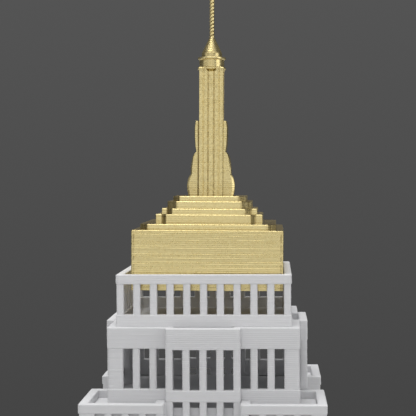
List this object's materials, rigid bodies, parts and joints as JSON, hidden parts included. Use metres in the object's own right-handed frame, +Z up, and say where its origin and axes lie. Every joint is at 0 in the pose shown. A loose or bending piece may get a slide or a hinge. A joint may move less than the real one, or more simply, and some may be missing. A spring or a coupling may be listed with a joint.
{
  "type": "miniature landmark model",
  "caption": "Printed desk model of a stepped art deco skyscraper: hollow white tower with slot windows, tray topped wings and a lift-out gold crown with mast and antenna.",
  "frame": {"origin": "middle of the underside of the base plate", "axes": "+Z up the tower, +X to the right along the base plate's long side, -Y towards the viewer of the front"},
  "size_m": [0.062, 0.048, 0.159],
  "materials": {
    "white_matt_plastic": "printed in fine layers, matt white",
    "gold_silk_plastic": "printed in fine layers, silky gold"
  },
  "bodies": {
    "tower": {"base_plate": "white_matt_plastic", "podium_wall_front": "white_matt_plastic", "podium_wall_back": "white_matt_plastic", "podium_wall_left": "white_matt_plastic", "podium_wall_right": "white_matt_plastic", "podium_roof": "white_matt_plastic", "lower_wall_front": "white_matt_plastic", "lower_wall_back": "white_matt_plastic", "lower_wall_left": "white_matt_plastic", "lower_wall_right": "white_matt_plastic", "lower_roof": "white_matt_plastic", "middle_wall_front": "white_matt_plastic", "middle_wall_back": "white_matt_plastic", "middle_wall_left": "white_matt_plastic", "middle_wall_right": "white_matt_plastic", "middle_roof": "white_matt_plastic", "wing_front_left": "white_matt_plastic", "wing_front_right": "white_matt_plastic", "wing_back_left": "white_matt_plastic", "wing_back_right": "white_matt_plastic", "bay_front": "white_matt_plastic", "bay_back": "white_matt_plastic", "bay_left": "white_matt_plastic", "bay_right": "white_matt_plastic", "shaft_roof": "white_matt_plastic", "upper_corner_front_left": "white_matt_plastic", "upper_corner_front_right": "white_matt_plastic", "upper_corner_back_left": "white_matt_plastic", "upper_corner_back_right": "white_matt_plastic", "upper_roof": "white_matt_plastic", "gallery_wall_front": "white_matt_plastic", "gallery_wall_back": "white_matt_plastic", "gallery_wall_left": "white_matt_plastic", "gallery_wall_right": "white_matt_plastic", "crown_rests": "white_matt_plastic"},
    "crown": {"crown_block": "gold_silk_plastic", "crown_step_1": "gold_silk_plastic", "crown_step_2": "gold_silk_plastic", "crown_step_3": "gold_silk_plastic", "crown_step_4": "gold_silk_plastic", "crown_step_5": "gold_silk_plastic", "mast_shaft": "gold_silk_plastic", "mast_buttress_left": "gold_silk_plastic", "mast_buttress_right": "gold_silk_plastic", "mast_collar": "gold_silk_plastic", "mast_cap": "gold_silk_plastic", "antenna": "gold_silk_plastic"}
  },
  "joints": [
    {"name": "crown_lift", "type": "slide", "parent": "tower", "child": "crown", "axis": [0, 0, 1], "range_m": [0, 0.015]}
  ]
}
